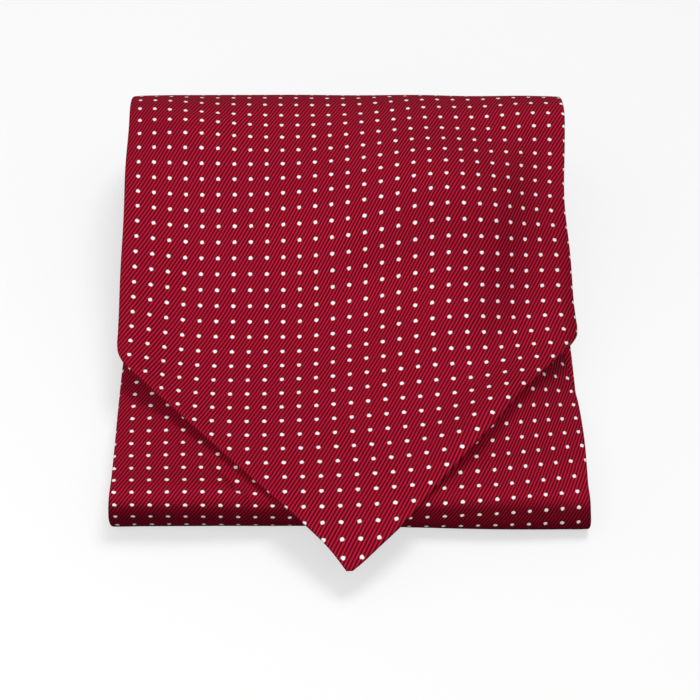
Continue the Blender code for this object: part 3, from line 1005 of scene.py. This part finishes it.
@dataclass
class FoldedCravat:
    """The whole cravat: blade, back layer, under layer and the layers folded up inside."""

    point_y: float = -9.0
    point_z: float = 9.0
    fold_start: float = 17.8
    fold_end: float = 18.0
    under_clearance: float = 2.0
    under_free: float = 12.0
    press_softness: float = 2.0
    far_up: float = 90.0
    roof_rows: tuple[float, float, float] = (2.0, 196.0, 4.0)
    roof_columns: int = 41
    roof_blend: float = 18.0
    roof_edge: float = 0.35
    roof_edge_lift: float = 8.0
    roof_least: float = 0.02
    spots_at_once: int = 2000
    cover_rows: tuple[float, float] = (60.0, 206.0)
    cover_step: float = 3.0
    cover_columns: int = 53
    # Distances along the under layer over which the painted shade on its fold's face fades out.
    dark_face: tuple[float, float] = (12.5, 17.5)
    under_end: float = 1.0
    blade_end: float = 0.02

    def __post_init__(self) -> None:
        """Lays the two stretches of cloth that are not flat."""
        self.blade = LaidCloth(
            SideCurve.of_blade(self.point_y, self.point_z),
            BLADE_SWELLS,
            held=30.0,
            lean=0.064,
            curl=1.5,
            shift=0.3,
            drift=-2.3,
            bow=0.75,
            swells_end=(178.0, 212.0),
        )
        self.under = LaidCloth(SideCurve.of_under(self.fold_start), UNDER_SWELLS, held=16.0)
        self.back_last = float(self.blade.curve.y[-1])
        rows = np.arange(*self.roof_rows)
        self.roof = self._grid(self.blade.middle, BLADE_CUT, rows, self.roof_columns).reshape(-1, 3)

    def origin(self) -> Grid:
        """Where the scene's origin lies in the layout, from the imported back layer's corner."""
        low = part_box("back_layer")[0]
        knots, lefts = column(BACK_CUT, "along"), column(BACK_CUT, "left")
        left = float(np.interp(self.back_last - SEAM, knots, lefts))
        return np.array([left - low[0] / MM, self.fold_start + SEAM - low[1] / MM, 0.0])

    @staticmethod
    def _grid(middle: ClothMap, cut: Sequence[Cut], rows: Grid, columns: int) -> Grid:
        """Grid of points on the middle of a cloth, from edge to edge of its cut."""
        left, right = edges_at(cut, rows)
        across = left[:, None] + (right - left)[:, None] * np.linspace(0.0, 1.0, columns)
        return middle(across, np.repeat(rows[:, None], columns, axis=1))

    def _blade_above(self, x: Grid, y: Grid) -> Grid:
        """Height of the blade's middle above each spot, far up where there is no blade."""
        out = np.full(x.size, self.far_up)
        for start in range(0, x.size, self.spots_at_once):
            part = slice(start, start + self.spots_at_once)
            gap = (self.roof[None, :, 0] - x.ravel()[part, None]) ** 2
            gap += (self.roof[None, :, 1] - y.ravel()[part, None]) ** 2
            weight = np.exp(-gap / self.roof_blend)
            total = weight.sum(axis=1)
            lift = self.roof_edge_lift * np.maximum(0.0, self.roof_edge - total) / self.roof_edge
            height = (weight * self.roof[None, :, 2]).sum(axis=1) / np.maximum(total, 1e-9) + lift
            out[part] = np.where(total > self.roof_least, height, self.far_up)
        return out.reshape(x.shape)

    def under_middle(self, across: Grid, along: Grid) -> Grid:
        """Middle of the under layer, pressed down where the blade above comes too near."""
        points = self.under.middle(across, along)
        over = points[..., 2] - self._blade_above(points[..., 0], points[..., 1]) + self.under_clearance
        soft = self.press_softness
        press = np.where(over > soft, over, np.where(over > -soft, (over + soft) ** 2 / (4 * soft), 0.0))
        points[..., 2] -= np.where(along > self.under_free, press, 0.0)
        return points

    @staticmethod
    def back_middle(across: Grid, along: Grid) -> Grid:
        """Middle of the back layer, flat on the table."""
        return np.stack([across, along, np.full_like(across, WALL / 2)], axis=-1)

    @staticmethod
    def blade_pattern(across: Grid, along: Grid) -> Grid:
        """Dot columns and rows of the blade."""
        columns = (across - eased(BLADE_SHIFTS, "value", along)) / DOT_PITCH + BLADE_FIRST_COLUMN
        return np.stack([columns, along / DOT_PITCH + BLADE_FIRST_ROW], axis=-1)

    @staticmethod
    def back_pattern(across: Grid, along: Grid) -> Grid:
        """Dot columns and rows of the back layer."""
        return np.stack([across / DOT_PITCH + BACK_FIRST_COLUMN, along / DOT_PITCH], axis=-1)

    @staticmethod
    def under_pattern(across: Grid, along: Grid) -> Grid:
        """Dot columns and rows of the under layer, which close up over its fold."""
        rows = between(UNDER_ROWS, ROW_PLACES, across, along)
        shift = between(UNDER_SHIFTS, SHIFT_PLACES, across, along)
        start = np.minimum(along - UNDER_ROWS[0].along, 0.0) / DOT_PITCH
        return np.stack([across / DOT_PITCH + shift, rows + start], axis=-1)

    def build(self, table: Piece) -> None:
        """Builds and declares every piece, from the table up.

        Args:
            table: The floor that the cravat lies on.
        """
        origin = self.origin()
        face = SilkFinish("pin dot silk twill").material()
        back = ClothStretch(
            "silk_back_layer", "back_layer", "silk_back", BACK_CUT, BACK_CREASES,
            self.back_middle, self.back_pattern, self.fold_start, self.back_last,
            rows=60, columns=60, pillow=0.0,
        )
        under = ClothStretch(
            "silk_under_layer", "under_layer", "silk_under", UNDER_CUT, UNDER_CREASES,
            self.under_middle, self.under_pattern, 0.0, self.under.length - self.under_end,
            rows=150, columns=130, turn=self.dark_face,
        )
        blade = ClothStretch(
            "silk_front_blade", "front_blade", "silk_face", BLADE_CUT, BLADE_CREASES,
            self.blade.middle, self.blade_pattern, BLADE_CUT[0].along, self.blade.length - self.blade_end,
            rows=230, columns=150,
        )
        pieces = {part.name: part.build(origin, face) for part in (back, under, blade)}
        pleats = FoldedPleats()
        blade_rows = np.arange(*self.cover_rows, self.cover_step)
        under_rows = np.arange(self.fold_end, self.under.length - self.under_end, self.cover_step)
        middles = (
            self._grid(self.blade.middle, BLADE_CUT, blade_rows, self.cover_columns),
            self._grid(self.under_middle, UNDER_CUT, under_rows, self.cover_columns),
        )
        above = [grid - normals(grid) * WALL / 2 for grid in middles]
        neck = pleats.build(origin, self.blade, above, face)
        back.declare(pieces[back.name], Held.LAID, [table])
        pleats.declare(neck, [pieces[back.name]])
        under.declare(pieces[under.name], Held.FOLDED, [neck])
        blade.declare(pieces[blade.name], Held.FOLDED, [pieces[under.name], neck])


@dataclass(frozen=True)
class SoftLight:
    """One large soft lamp."""

    name: str
    place: tuple[float, float, float]
    width: float
    power: float
    casts_shadow: bool = True


@dataclass
class PhotoStudio:
    """Pale floor, soft light and the camera at the photograph's angle."""

    floor_colour: tuple[float, float, float] = (0.6, 0.6, 0.6)
    floor_glow: float = 0.3
    floor_side: float = 3.0
    board_depth: float = 0.002
    sky: float = 0.31
    elevation: float = 51.5
    look_at: tuple[float, float, float] = (1.09, -3.78, 1.4)
    distance: float = 465.0
    lens: float = 70.05
    lamps: tuple[SoftLight, ...] = (
        SoftLight("back", (0.3, 0.55, 1.3), 0.6, 7.6),
        SoftLight("front left", (-0.55, -0.8, 1.15), 0.8, 15.6, casts_shadow=False),
    )

    def lay_floor(self) -> Piece:
        """Lays the plain floor, and a black board under it that keeps light from rising through.

        Returns:
            The floor.
        """
        pale = {
            "Base Color": (*self.floor_colour, 1.0),
            "Roughness": 0.9,
            "Specular IOR Level": 0.0,
            "Emission Color": (1.0, 1.0, 1.0, 1.0),
            "Emission Strength": self.floor_glow,
        }
        floor = self._slab("tabletop", 0.0, ShaderGraph("pale tabletop").finished(pale))
        floor.visible_diffuse = False
        floor.visible_glossy = False
        black = {"Base Color": (0.0, 0.0, 0.0, 1.0), "Roughness": 1.0, "Specular IOR Level": 0.0}
        self._slab("board", -self.board_depth, ShaderGraph("black board").finished(black))
        return floor

    def _slab(self, name: str, height: float, finish: Finish) -> Piece:
        """Lays one wide square under the cravat, which isn't part of it.

        Args:
            name: Name of the square.
            height: Height that it lies at.
            finish: Its material.

        Returns:
            The square.
        """
        side = self.floor_side
        corners = [(-side, -side, 0.0), (side, -side, 0.0), (side, side, 0.0), (-side, side, 0.0)]
        mesh = bpy.data.meshes.new(name)
        mesh.from_pydata(corners, [], [(0, 1, 2, 3)])
        mesh.materials.append(finish)
        slab = bpy.data.objects.new(name, mesh)
        slab.location.z = height
        bpy.context.scene.collection.objects.link(slab)
        return slab

    def light(self) -> None:
        """Hangs the lamps and sets the even light around them."""
        scene = bpy.context.scene
        scene.view_settings.view_transform = "Standard"
        world = bpy.data.worlds.new("studio")
        world.use_nodes = True
        shade = world.node_tree.nodes["Background"]
        shade.inputs["Color"].default_value = (1.0, 1.0, 1.0, 1.0)
        shade.inputs["Strength"].default_value = self.sky
        scene.world = world
        for lamp in self.lamps:
            data = bpy.data.lights.new(lamp.name, "AREA")
            data.shape = "DISK"
            data.size = lamp.width
            data.energy = lamp.power
            data.use_shadow = lamp.casts_shadow
            holder = bpy.data.objects.new(lamp.name, data)
            holder.location = lamp.place
            holder.rotation_euler = (-Vector(lamp.place)).to_track_quat("-Z", "Y").to_euler()
            scene.collection.objects.link(holder)

    def aim(self) -> None:
        """Sets the camera where the photograph was taken from."""
        data = bpy.data.cameras.new("camera")
        data.sensor_width = 36.0
        data.lens = self.lens
        data.clip_start = 0.01
        camera = bpy.data.objects.new("camera", data)
        target = Vector(self.look_at) * MM
        tilt = math.radians(self.elevation)
        camera.location = target + Vector((0.0, -math.cos(tilt), math.sin(tilt))) * self.distance * MM
        camera.rotation_euler = (math.pi / 2 - tilt, 0.0, 0.0)
        bpy.context.scene.collection.objects.link(camera)
        bpy.context.scene.camera = camera


def main() -> None:
    """Builds the studio and the cravat."""
    logging.basicConfig(level=logging.INFO, format="%(message)s")
    studio = PhotoStudio()
    floor = studio.lay_floor()
    studio.light()
    studio.aim()
    FoldedCravat().build(floor)


if __name__ == "__main__":
    main()
